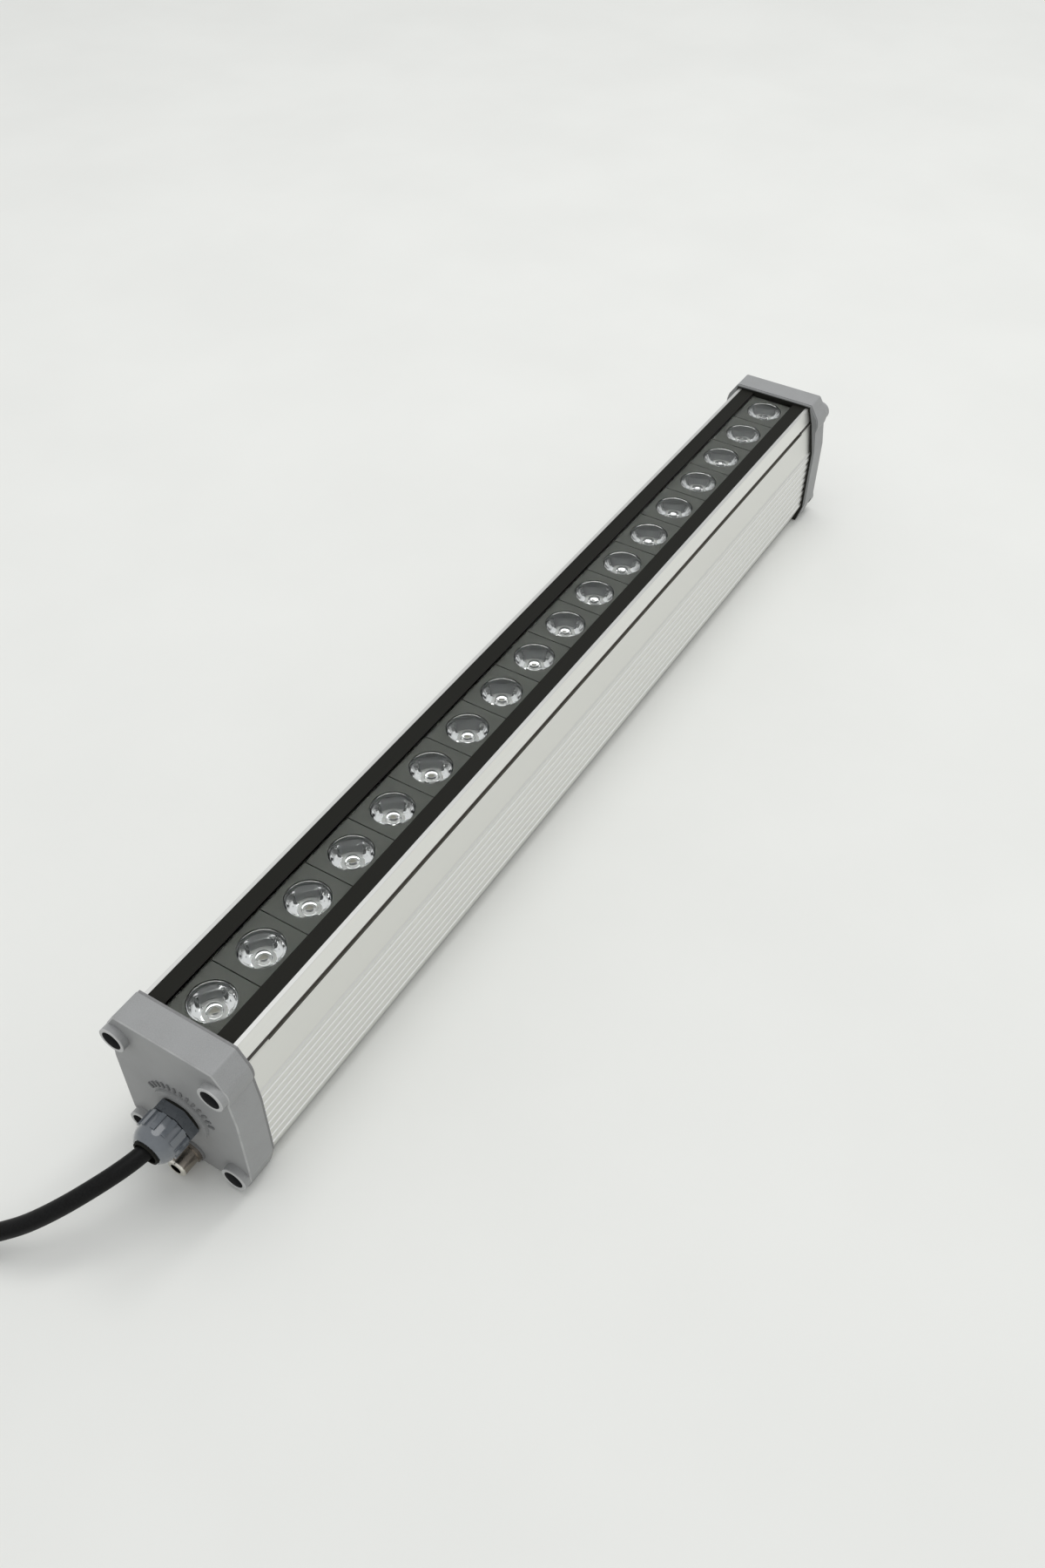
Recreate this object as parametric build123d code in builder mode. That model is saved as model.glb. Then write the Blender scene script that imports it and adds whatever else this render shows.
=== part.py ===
"""LED wall washer bar: extruded housing, lens row under glass, end caps, gland, vent and cord.

Millimetres. +X runs along the bar from the cable end to the blind end, +Z is up, and z = 0 is the
surface that the end caps stand on. The origin is under the middle of the light's own box.
"""
from build123d import *
import math
import os

os.makedirs("parts", exist_ok=True)

# Housing extrusion, measured across the bar
profile_length = 473.0
profile_width = 51.6
profile_height = 69.4
wall = 2.2
foot_drop = 0.8  # the end caps reach this far below the extrusion
lip_thickness = 1.6
shoulder_slope = 2.4  # the strip above the groove leans in by this much
groove_drop = 8.4
band_slope = 2.4  # the smooth band below the groove leans out by this much
flank_step = 0.6
flank_drop = 25.2
chamfer_in = 3.9
chamfer_rise = 10.3
flute_count = 8
flute_mouth = 2.2
flute_floor = 1.2
flute_depth = 0.45

# Screw ports along the housing's four corners
port_radius = 1.6
port_wall = 1.5
port_inset = 1.2
port_slit = 1.3
lower_port_rise = 7.7

# Slot under the housing for bracket bolts
slot_mouth = 8.5
slot_lip = 2.0
slot_width = 15.0
slot_height = 5.2
slot_wall = 1.8

# Glass cover and its rubber strips
glass_thickness = 2.0
glass_recess = 0.5
glass_end_gap = 0.5
glass_bevel = 0.4
ledge_thickness = 2.0
strip_leg = 1.8
strip_width = 7.2
strip_edge = 0.3
strip_top_gap = 0.1
barb_depth = 0.7
barb_height = 1.0

# Lens row
lens_pitch = 26.5
lens_end_margin = 11.0
lens_radius = 8.75
lens_height = 10.2
lens_rim = 1.6
lens_foot_radius = 4.6
pocket_radius = 2.9
pocket_depth = 3.2
window_gap = 0.3
plate_width = 23.2
plate_thickness = 1.5
plate_seam = 0.5
plate_gap = 0.2
plate_side_gap = 0.3
plate_end_gap = 0.2
cup_wall = 1.0
cup_floor = 1.0
cup_foot_gap = 0.8

# LED board on the web of the housing
board_thickness = 1.6
board_width = 22.6
board_end_gap = 0.5
web_thickness = 3.0
emitter_size = 3.5
emitter_base = 0.8
emitter_top_size = 2.4
emitter_top = 0.6
board_screw_seam_count = 4  # lens seams from one board screw to the next
board_screw_radius = 1.45
board_screw_head_radius = 2.7
board_screw_head = 1.9
screw_clearance = 0.05

# Driver in the lower cavity
driver_length = 170.0
driver_inset = 36.0
driver_thickness = 1.6
driver_slot_play = 0.2
driver_side_gap = 0.3
rail_thickness = 1.2
rail_depth = 2.4
rail_rise = 13.2
transformer_size = (22.0, 20.0, 19.0)
transformer_leg = 5.0
transformer_stack = 10.0
capacitor_radius = 5.0
capacitor_height = 17.0
capacitor_gap = 2.5
capacitor_groove = 0.5
capacitor_groove_rise = 1.5
capacitor_groove_width = 1.0
choke_radius = 6.0
choke_height = 11.0
choke_flange = 1.5
terminal_size = (9.0, 18.0, 11.0)
terminal_pitch = 5.5
terminal_hole_radius = 1.4
terminal_hole_depth = 6.8
terminal_bevel = 1.5
driver_spacing = 6.0  # between the pieces that stand on the driver board

# End caps and gaskets
cap_depth = 12.3
cap_wall = 3.0
cap_front_wall = 3.2
cap_rise = 1.85
cap_top_out = 1.2
shoulder_rise = 3.5  # the rounded shoulder reaches from this far above the upper bosses
shoulder_drop = 4.8
shoulder_sink = 0.5
shoulder_top_in = 1.05
shoulder_foot_in = 0.75
cap_overhang = 1.8
cap_foot_out = 2.2
cap_foot_rise = 0.7
cap_corner = 1.2
cap_edge = 0.6
boss_radius = 5.3
boss_height = 3.0
boss_cover = 0.05
counterbore_radius = 4.0
counterbore_depth = 8.0  # below the cap's front face
cap_hole_radius = 2.2
disc_height = 1.2
disc_margin = 2.2
gasket_thickness = 1.2
gasket_inset = 0.3
gasket_hole_play = 0.1
gasket_window_half = 14.0
gasket_window_margin = 3.0

# Cap screws
cap_screw_head_radius = 3.5
cap_screw_head = 3.6
cap_screw_grip = 12.0
socket_across = 3.0
socket_depth = 1.8

# Cord and cable gland, on one axis
cord_diameter = 6.5
gland_rise = 30.4
seal_play = 0.1
seal_wall = 1.95
seal_flare = 1.2
seal_proud = 0.9
cord_bend_depth = 1.8  # the cord may start to bend this far in front of the gland's hexagon
spigot_wall = 1.4
spigot_length = 7.0
finger_count = 6
finger_slot = 1.2
gland_play = 0.2
thread_step = 0.7
thread_play = 0.1
hex_step = 0.9
hex_thickness = 4.0
washer_thickness = 1.0
locknut_thickness = 3.6
locknut_step = 2.4
thread_end = 0.8
nut_wall = 1.25
nut_gap = 0.3
nut_straight = 6.8
nut_length = 11.6
nut_mouth_step = 0.6
grip_count = 12
grip_height = 0.7
grip_width = 2.0

# Breather vent under the gland
vent_shank_radius = 2.6
vent_tube_radius = 4.2
vent_flange_radius = 4.9
vent_flange = 1.2
vent_reach = 9.7
vent_bore_radius = 2.3
vent_bore_depth = 7.5
vent_port_radius = 1.2
vent_tip_bevel = 0.6
vent_washer_thickness = 0.9
vent_washer_margin = 0.6
vent_wall_gap = 0.3
vent_play = 0.1
membrane_thickness = 0.4

# Wires
core_radius = 1.0
core_circle = 1.25
core_count = 3
jacket_inside = 8.0
lead_bend = 9.0
led_wire_radius = 0.8
led_wire_spacing = 3.0
led_wire_hole = 3.0
led_wire_bend = 4.5
led_wire_rise = 18.0

# Cord outside: the free stretch, one put-away coil, its tie and its stripped end
coil_radius = 38.0
coil_pitch = 8.4
coil_quarters = 5
tie_thickness = 0.8
tie_width = 3.2
tie_play = 0.1
floor_play = 0.05
tail_bends = (14.0, 10.0, 7.0)
tail_turn = 85.0
tail_lead = 2.0
copper_radius = 0.6
copper_length = 6.0
least_bend = 5.0  # in cord diameters
run_share = 0.45  # of a straight run, used up by each of the two bends at its ends

# Levels above the surface that the caps stand on
profile_bottom = foot_drop
profile_top = profile_bottom + profile_height
groove_z = profile_top - groove_drop
flank_z = profile_top - flank_drop
chamfer_z = profile_bottom + chamfer_rise
lower_port_z = profile_bottom + lower_port_rise
glass_top = profile_top - glass_recess
glass_bottom = glass_top - glass_thickness
ledge_bottom = glass_bottom - ledge_thickness
plate_top = glass_bottom - plate_gap
plate_bottom = plate_top - plate_thickness
board_top = plate_top - lens_height
web_top = board_top - board_thickness
web_bottom = web_top - web_thickness
chamber_bottom = profile_bottom + slot_lip
chamber_top = chamber_bottom + slot_height
slot_roof = chamber_top + slot_wall
cavity_floor = profile_bottom + wall
rail_bottom = profile_bottom + rail_rise
driver_bottom = rail_bottom + rail_thickness
driver_top = driver_bottom + driver_thickness
vent_z = cap_wall + vent_shank_radius + vent_wall_gap

# Half widths
flank_half = profile_width / 2
band_half = flank_half - flank_step
groove_half = band_half - band_slope
lip_top_half = groove_half - shoulder_slope
lip_inner_half = lip_top_half - lip_thickness
bottom_half = flank_half - chamfer_in
port_half = groove_half - port_inset
channel_half = port_half - port_radius - port_wall
cavity_half = flank_half - wall
upper_half = band_half - wall - band_slope / 2
ledge_half = plate_width / 2 + plate_side_gap
glass_half = lip_inner_half - strip_leg
driver_half = cavity_half - driver_side_gap

# Gland radii, outwards from the cord
cord_radius = cord_diameter / 2
seal_bore = cord_radius + seal_play
seal_radius = seal_bore + seal_wall
spigot_bore = seal_radius + gland_play
spigot_radius = spigot_bore + spigot_wall
nut_bore = spigot_radius + gland_play
nut_radius = nut_bore + nut_wall
nut_mouth = seal_radius + gland_play
thread_radius = spigot_radius + thread_step
thread_hole = thread_radius + thread_play
hex_half = thread_radius + hex_step
hex_corner = hex_half / math.cos(math.pi / 6)
locknut_half = thread_radius + locknut_step
disc_radius = hex_corner + disc_margin

# Stations along the bar; the gland reaches furthest at one end, the bosses at the other
gland_reach = disc_height + washer_thickness + hex_thickness + nut_length + seal_proud
profile_mid = (gland_reach - boss_height) / 2
front_end = profile_mid - profile_length / 2
rear_end = profile_mid + profile_length / 2
front_seat = front_end - gasket_thickness
rear_seat = rear_end + gasket_thickness
front_face = front_seat - cap_depth
rear_face = rear_seat + cap_depth
disc_face = front_face - disc_height
hex_back = disc_face - washer_thickness
hex_front = hex_back - hex_thickness
nut_front = hex_front - nut_length
seal_front = nut_front - seal_proud
cap_inner = front_face + cap_front_wall
locknut_back = cap_inner + locknut_thickness
thread_back = locknut_back + thread_end
cord_start = hex_front - cord_bend_depth
jacket_back = thread_back + jacket_inside
driver_front = front_end + driver_inset
terminal_x = driver_front + driver_spacing + terminal_size[0] / 2
choke_x = terminal_x + terminal_size[0] / 2 + driver_spacing + choke_radius
capacitor_x = choke_x + choke_radius + driver_spacing + capacitor_radius
transformer_x = capacitor_x + capacitor_radius + driver_spacing + transformer_size[0] / 2
led_wire_start = transformer_x + transformer_size[0] / 2 + driver_spacing

ports = [(side * port_half, z) for z in (groove_z, lower_port_z) for side in (-1, 1)]
lens_count = int((profile_length - 2 * lens_end_margin) / lens_pitch) + 1
lens_x = [profile_mid + (i - (lens_count - 1) / 2) * lens_pitch for i in range(lens_count)]
seam_x = [x + lens_pitch / 2 for x in lens_x[:-1]]
board_screw_x = seam_x[1::board_screw_seam_count]
lead_seams = [x for x in seam_x if x > led_wire_start + lead_bend and x not in board_screw_x]
lead_hole_x = lead_seams[0]


def save(piece, name):
    """Labels a finished piece and writes it under its node's name."""
    piece.part.label = name
    export_step(piece.part, f"parts/{name}.step")


def across(x):
    """Plane across the bar at x: local x is +Y, local y is +Z, drawn towards +X."""
    return Plane.YZ.offset(x)


def beside(x, z):
    """Upright plane along the bar through (x, z): local x is +X, local y is +Z."""
    return Plane(origin=(x, 0, z), x_dir=(1, 0, 0), z_dir=(0, -1, 0))


def bar_axis(z):
    """Line along the bar at a height, to turn round pieces about."""
    return Axis((0, 0, z), (1, 0, 0))


def mirrored_face(half_points):
    """Face across the bar from its outline's right half, which starts and ends on y = 0."""
    with BuildSketch() as shape:
        with BuildLine():
            Polyline(*half_points)
            mirror(about=Plane.YZ)
        make_face()
    return shape.sketch


def cap_outline(inset=0.0, corner=0.0):
    """Outline of the end caps, drawn in by a given amount, with rounded top and foot corners."""
    with BuildSketch() as shape:
        with BuildLine():
            Polyline((0, cap_top), (cap_top_half, cap_top), shoulder_top)
            ThreePointArc(shoulder_top, shoulder_middle, shoulder_foot)
            Polyline(
                shoulder_foot,
                (cap_side_half, flank_z),
                (cap_side_half, cap_chamfer_z),
                (cap_bottom_half, 0),
                (0, 0),
            )
            mirror(about=Plane.YZ)
        make_face()
        if inset:
            offset(amount=-inset, mode=Mode.REPLACE)
        if corner:
            levels = shape.vertices().group_by(Axis.Y)
            fillet(levels[0] + levels[1] + levels[-1], corner)
    return shape.sketch


# Cap outline, from the housing that it covers
cap_top = profile_top + cap_rise
cap_top_half = lip_top_half + cap_top_out
shoulder_half = port_half + boss_radius + boss_cover
shoulder_top = (shoulder_half - shoulder_top_in, groove_z + shoulder_rise)
shoulder_middle = (shoulder_half, groove_z - shoulder_sink)
shoulder_foot = (shoulder_half - shoulder_foot_in, groove_z - shoulder_drop)
cap_side_half = flank_half + cap_overhang
cap_chamfer_z = chamfer_z + cap_foot_rise
cap_bottom_half = bottom_half + cap_foot_out

# Housing: one section carried along the bar, then the holes through its web
flute_pitch = (flank_z - chamfer_z) / flute_count
flute_places = [
    (side * flank_half, chamfer_z + (i + 0.5) * flute_pitch)
    for i in range(flute_count)
    for side in (-1, 1)
]
rail_places = [
    (side * (cavity_half - rail_depth / 2), z + rail_thickness / 2)
    for z in (rail_bottom, driver_top + driver_slot_play)
    for side in (-1, 1)
]

outer_section = mirrored_face(
    [
        (0, profile_top),
        (lip_top_half, profile_top),
        (groove_half, groove_z),
        (band_half, flank_z + flank_step),
        (flank_half, flank_z),
        (flank_half, chamfer_z),
        (bottom_half, profile_bottom),
        (0, profile_bottom),
    ]
)
lamp_channel = mirrored_face(
    [
        (0, profile_top),
        (lip_inner_half, profile_top),
        (lip_inner_half, glass_bottom),
        (ledge_half, glass_bottom),
        (ledge_half, ledge_bottom),
        (channel_half, ledge_bottom),
        (channel_half, groove_z - port_radius - port_wall),
        (upper_half, web_top + wall),
        (upper_half, web_top),
        (0, web_top),
    ]
)
driver_cavity = mirrored_face(
    [
        (0, web_bottom),
        (upper_half, web_bottom),
        (cavity_half, flank_z),
        (cavity_half, lower_port_z + port_radius + port_wall),
        (channel_half, lower_port_z + port_radius + port_wall),
        (channel_half, cavity_floor),
        (slot_width / 2 + slot_wall, cavity_floor),
        (slot_width / 2 + slot_wall, slot_roof),
        (0, slot_roof),
    ]
)

with BuildPart() as housing_profile:
    with BuildSketch(across(front_end)):
        add(outer_section)
        add(lamp_channel, mode=Mode.SUBTRACT)
        add(driver_cavity, mode=Mode.SUBTRACT)
        with Locations((0, (chamber_bottom + chamber_top) / 2)):
            Rectangle(slot_width, slot_height, mode=Mode.SUBTRACT)
        with Locations((0, profile_bottom + slot_lip / 2)):
            Rectangle(slot_mouth, slot_lip, mode=Mode.SUBTRACT)
        with Locations(*rail_places):
            Rectangle(rail_depth, rail_thickness)
        with Locations(*ports):
            Circle(port_radius, mode=Mode.SUBTRACT)
        for side in (-1, 1):
            with Locations((side * (port_half + port_inset / 2), groove_z)):
                Rectangle(2 * port_inset, port_slit, mode=Mode.SUBTRACT)
            with Locations((side * lip_inner_half, (glass_bottom + glass_top) / 2)):
                Rectangle(2 * barb_depth, barb_height, mode=Mode.SUBTRACT)
        with Locations(*flute_places):
            Polygon(
                (-flute_depth, -flute_floor / 2),
                (0, -flute_mouth / 2),
                (flute_depth, -flute_floor / 2),
                (flute_depth, flute_floor / 2),
                (0, flute_mouth / 2),
                (-flute_depth, flute_floor / 2),
                mode=Mode.SUBTRACT,
            )
    extrude(amount=profile_length)
    with BuildSketch(Plane.XY.offset(web_bottom)):
        with Locations(*[(x, 0) for x in board_screw_x]):
            Circle(board_screw_radius + screw_clearance)
        with Locations((lead_hole_x, 0)):
            Circle(led_wire_hole)
    extrude(amount=web_thickness, mode=Mode.SUBTRACT)
save(housing_profile, "housing_profile")

# Glass cover on the ledges, and the rubber strips that wedge its edges under the lips
with BuildPart() as glass_cover:
    with BuildSketch(Plane.XY.offset(glass_bottom)):
        with Locations((profile_mid, 0)):
            Rectangle(profile_length - 2 * glass_end_gap, 2 * glass_half)
    extrude(amount=glass_thickness)
    chamfer(glass_cover.edges().filter_by(Axis.X), glass_bevel)
save(glass_cover, "glass_cover")

for side, name in ((1, "glazing_strip_left"), (-1, "glazing_strip_right")):
    barb_z = (glass_bottom + glass_top) / 2
    barb_half = barb_height / 2 - strip_top_gap
    with BuildPart() as glazing_strip:
        with BuildSketch(across(front_end)):
            with BuildLine():
                Polyline(
                    (side * (lip_inner_half - strip_width), glass_top),
                    (side * (lip_inner_half - strip_width), glass_top + strip_edge),
                    (side * lip_inner_half, profile_top - strip_top_gap),
                    (side * lip_inner_half, barb_z + barb_half),
                    (side * (lip_inner_half + barb_depth - strip_top_gap), barb_z + barb_half),
                    (side * (lip_inner_half + barb_depth - strip_top_gap), barb_z - barb_half),
                    (side * lip_inner_half, barb_z - barb_half),
                    (side * lip_inner_half, glass_bottom),
                    (side * glass_half, glass_bottom),
                    (side * glass_half, glass_top),
                    close=True,
                )
            make_face()
        extrude(amount=profile_length)
    save(glazing_strip, name)

# Lenses: solid collimators that stand on the board with a pocket over each emitter
for number, x in enumerate(lens_x, start=1):
    with BuildPart() as lens:
        with BuildSketch(beside(x, board_top)):
            with BuildLine():
                Polyline(
                    (0, lens_height),
                    (lens_radius, lens_height),
                    (lens_radius, lens_height - lens_rim),
                    (lens_foot_radius, 0),
                    (pocket_radius, 0),
                    (pocket_radius, pocket_depth),
                    (0, pocket_depth),
                    close=True,
                )
            make_face()
        revolve(axis=Axis((x, 0, 0), (0, 0, 1)))
    save(lens, f"lens_{number:02d}")

# Lens holders: a square plate over a round cup for each lens, cut from one row
window_radius = lens_radius + window_gap
cup_hole = lens_foot_radius + cup_foot_gap
row_start = max(front_end + plate_end_gap, lens_x[0] - (lens_pitch - plate_seam) / 2)
row_stop = min(rear_end - plate_end_gap, lens_x[-1] + (lens_pitch - plate_seam) / 2)

with BuildPart() as lens_holders:
    with BuildSketch(Plane.XY.offset(plate_bottom)):
        with Locations(((row_start + row_stop) / 2, 0)):
            Rectangle(row_stop - row_start, plate_width)
        with Locations(*[(x, 0) for x in seam_x]):
            Rectangle(plate_seam, plate_width, mode=Mode.SUBTRACT)
        with Locations(*[(x, 0) for x in lens_x]):
            Circle(window_radius, mode=Mode.SUBTRACT)
    extrude(amount=plate_thickness)
    for hole, height in ((window_radius, plate_bottom - board_top), (cup_hole, cup_floor)):
        with BuildSketch(Plane.XY.offset(board_top)):
            with Locations(*[(x, 0) for x in lens_x]):
                Circle(window_radius + cup_wall)
                Circle(hole, mode=Mode.SUBTRACT)
        extrude(amount=height)
save(lens_holders, "lens_holders")

# LED board on the web, its emitters and the screws that hold it down
with BuildPart() as led_board:
    with BuildSketch(Plane.XY.offset(web_top)):
        with Locations((profile_mid, 0)):
            Rectangle(profile_length - 2 * board_end_gap, board_width)
        with Locations(*[(x, 0) for x in board_screw_x]):
            Circle(board_screw_radius + screw_clearance, mode=Mode.SUBTRACT)
        with Locations((lead_hole_x, 0)):
            Circle(led_wire_hole, mode=Mode.SUBTRACT)
    extrude(amount=board_thickness)
save(led_board, "led_board")

with BuildPart() as led_emitters:
    with BuildSketch(Plane.XY.offset(board_top)):
        with Locations(*[(x, 0) for x in lens_x]):
            Rectangle(emitter_size, emitter_size)
    extrude(amount=emitter_base)
    with BuildSketch(Plane.XY.offset(board_top + emitter_base)):
        with Locations(*[(x, 0) for x in lens_x]):
            Rectangle(emitter_top_size, emitter_top_size)
    extrude(amount=emitter_top)
save(led_emitters, "led_emitters")

with BuildPart() as board_screws:
    with BuildSketch(Plane.XY.offset(web_bottom)):
        with Locations(*[(x, 0) for x in board_screw_x]):
            Circle(board_screw_radius)
    extrude(amount=web_thickness + board_thickness)
    with BuildSketch(Plane.XY.offset(board_top)):
        with Locations(*[(x, 0) for x in board_screw_x]):
            Circle(board_screw_head_radius)
    extrude(amount=board_screw_head)
save(board_screws, "board_screws")

# Driver board on the housing's rails, with what stands on it in a row from the cable end
with BuildPart() as driver_board:
    with BuildSketch(Plane.XY.offset(driver_bottom)):
        with Locations((driver_front + driver_length / 2, 0)):
            Rectangle(driver_length, 2 * driver_half)
    extrude(amount=driver_thickness)
save(driver_board, "driver_board")

with BuildPart() as terminal_block:
    with BuildSketch(Plane.XY.offset(driver_top)):
        with Locations((terminal_x, 0)):
            Rectangle(terminal_size[0], terminal_size[1])
    extrude(amount=terminal_size[2])
    chamfer(terminal_block.edges().group_by(Axis.Z)[-1].filter_by(Axis.Y), terminal_bevel)
    with BuildSketch(across(terminal_x - terminal_size[0] / 2)):
        with Locations((0, driver_top + terminal_size[2] / 2)):
            with GridLocations(terminal_pitch, 1, core_count, 1):
                Circle(terminal_hole_radius)
    extrude(amount=terminal_hole_depth, mode=Mode.SUBTRACT)
save(terminal_block, "terminal_block")

with BuildPart() as driver_choke:
    with BuildSketch(Plane.XY.offset(driver_top)):
        with Locations((choke_x, 0)):
            Circle(choke_radius)
    extrude(amount=choke_height)
    with BuildSketch(Plane.XY.offset(driver_top + choke_flange)):
        with Locations((choke_x, 0)):
            Circle(choke_radius)
            Circle(choke_radius - choke_flange, mode=Mode.SUBTRACT)
    extrude(amount=choke_height - 2 * choke_flange, mode=Mode.SUBTRACT)
save(driver_choke, "driver_choke")

with BuildPart() as driver_capacitors:
    for side in (-1, 1):
        can_y = side * (capacitor_radius + capacitor_gap / 2)
        with BuildSketch(Plane.XY.offset(driver_top)):
            with Locations((capacitor_x, can_y)):
                Circle(capacitor_radius)
        extrude(amount=capacitor_height)
        with BuildSketch(Plane.XY.offset(driver_top + capacitor_groove_rise)):
            with Locations((capacitor_x, can_y)):
                Circle(capacitor_radius)
                Circle(capacitor_radius - capacitor_groove, mode=Mode.SUBTRACT)
        extrude(amount=capacitor_groove_width, mode=Mode.SUBTRACT)
save(driver_capacitors, "driver_capacitors")

core_length, core_depth, core_height = transformer_size
with BuildPart() as driver_transformer:
    with BuildSketch(Plane.XZ.offset(-transformer_stack / 2)):
        with Locations((transformer_x, driver_top + core_height / 2)):
            Rectangle(core_length, core_height)
            Rectangle(core_length - transformer_leg, core_height - transformer_leg, mode=Mode.SUBTRACT)
    extrude(amount=transformer_stack)
    with BuildSketch(Plane.XY.offset(driver_top + transformer_leg / 2)):
        with Locations((transformer_x, 0)):
            RectangleRounded(core_length - 2 * transformer_leg, core_depth, transformer_leg / 2)
    extrude(amount=core_height - transformer_leg)
save(driver_transformer, "driver_transformer")

# End caps: hollow mouldings with a counterbored boss at each screw port
for end, name in ((-1, "front_end_cap"), (1, "rear_end_cap")):
    seat, face = (front_seat, front_face) if end < 0 else (rear_seat, rear_face)
    with BuildPart() as end_cap:
        with BuildSketch(across(seat)):
            add(cap_outline(corner=cap_corner))
        extrude(amount=end * cap_depth)
        chamfer(end_cap.faces().sort_by(Axis.X)[-1 if end > 0 else 0].outer_wire().edges(), cap_edge)
        with BuildSketch(across(seat)):
            add(cap_outline(inset=cap_wall))
            with Locations(*ports):
                Circle(boss_radius, mode=Mode.SUBTRACT)
        extrude(amount=end * (cap_depth - cap_front_wall), mode=Mode.SUBTRACT)
        with BuildSketch(across(face - end * cap_edge)):
            with Locations(*ports):
                Circle(boss_radius)
        extrude(amount=end * (cap_edge + boss_height))
        with BuildSketch(across(face + end * boss_height)):
            with Locations(*ports):
                Circle(counterbore_radius)
        extrude(amount=-end * (boss_height + counterbore_depth), mode=Mode.SUBTRACT)
        with BuildSketch(across(seat)):
            with Locations(*ports):
                Circle(cap_hole_radius)
        extrude(amount=end * cap_depth, mode=Mode.SUBTRACT)
        if end < 0:
            with BuildSketch(across(face)):
                with Locations((0, gland_rise)):
                    Circle(disc_radius)
            extrude(amount=-disc_height)
            with BuildSketch(across(disc_face)):
                with Locations((0, gland_rise)):
                    Circle(thread_hole)
            extrude(amount=disc_height + cap_front_wall, mode=Mode.SUBTRACT)
            with BuildSketch(across(face)):
                with Locations((0, vent_z)):
                    Circle(vent_shank_radius + vent_play)
            extrude(amount=cap_front_wall, mode=Mode.SUBTRACT)
    save(end_cap, name)

# Gaskets: rubber sheets behind the caps, open only where the cap's hollow meets the driver cavity
window_bottom = slot_roof + gasket_window_margin
window_top = web_bottom - gasket_window_margin
for place, name in ((front_seat, "front_gasket"), (rear_end, "rear_gasket")):
    with BuildPart() as gasket:
        with BuildSketch(across(place)):
            add(cap_outline(inset=gasket_inset))
            with Locations((0, (window_bottom + window_top) / 2)):
                Rectangle(2 * gasket_window_half, window_top - window_bottom, mode=Mode.SUBTRACT)
            with Locations(*ports):
                Circle(port_radius + gasket_hole_play, mode=Mode.SUBTRACT)
        extrude(amount=gasket_thickness)
    save(gasket, name)

# Cap screws: socket heads down in the counterbores, shanks in the housing's ports
for end, name in ((-1, "front_cap_screws"), (1, "rear_cap_screws")):
    seat_x = (front_face if end < 0 else rear_face) - end * counterbore_depth
    shank = cap_depth - counterbore_depth + gasket_thickness + cap_screw_grip
    with BuildPart() as cap_screws:
        with BuildSketch(across(seat_x)):
            with Locations(*ports):
                Circle(port_radius - screw_clearance)
        extrude(amount=-end * shank)
        with BuildSketch(across(seat_x)):
            with Locations(*ports):
                Circle(cap_screw_head_radius)
        extrude(amount=end * cap_screw_head)
        with BuildSketch(across(seat_x + end * cap_screw_head)):
            with Locations(*ports):
                RegularPolygon(socket_across / 2, 6, major_radius=False)
        extrude(amount=-end * socket_depth, mode=Mode.SUBTRACT)
    save(cap_screws, name)

# Cable gland: washer, body with clamping fingers, locknut, rubber seal and domed clamp nut
with BuildPart() as gland_washer:
    with BuildSketch(beside(0, gland_rise)):
        with BuildLine():
            Polyline(
                (disc_face, thread_hole),
                (disc_face, hex_half),
                (hex_back, hex_half),
                (hex_back, thread_hole),
                close=True,
            )
        make_face()
    revolve(axis=bar_axis(gland_rise))
save(gland_washer, "gland_washer")

with BuildPart() as gland_body:
    with BuildSketch(beside(0, gland_rise)):
        with BuildLine():
            Polyline(
                (thread_back, seal_bore + gland_play),
                (thread_back, thread_radius),
                (hex_back, thread_radius),
                (hex_back, spigot_radius),
                (hex_front - spigot_length, spigot_radius),
                (hex_front - spigot_length, spigot_bore),
                (hex_front, spigot_bore),
                (hex_front, seal_bore + gland_play),
                close=True,
            )
        make_face()
    revolve(axis=bar_axis(gland_rise))
    with BuildSketch(across(hex_front)):
        with Locations((0, gland_rise)):
            RegularPolygon(hex_half, 6, major_radius=False)
            Circle(spigot_radius, mode=Mode.SUBTRACT)
    extrude(amount=hex_thickness)
    with BuildSketch(across(hex_front - spigot_length)):
        with Locations((0, gland_rise)):
            with PolarLocations(0, finger_count // 2, angular_range=180):
                Rectangle(2 * nut_bore, finger_slot)
    extrude(amount=spigot_length - spigot_wall, mode=Mode.SUBTRACT)
save(gland_body, "gland_body")

with BuildPart() as gland_locknut:
    with BuildSketch(across(cap_inner)):
        with Locations((0, gland_rise)):
            RegularPolygon(locknut_half, 6, major_radius=False)
            Circle(thread_hole, mode=Mode.SUBTRACT)
    extrude(amount=locknut_thickness)
save(gland_locknut, "gland_locknut")

with BuildPart() as gland_seal:
    with BuildSketch(beside(0, gland_rise)):
        with BuildLine():
            Polyline(
                (hex_front, seal_bore),
                (hex_front, seal_radius),
                (seal_front, seal_radius),
                (seal_front, seal_bore + seal_flare),
                close=True,
            )
        make_face()
    revolve(axis=bar_axis(gland_rise))
save(gland_seal, "gland_seal")

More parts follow.
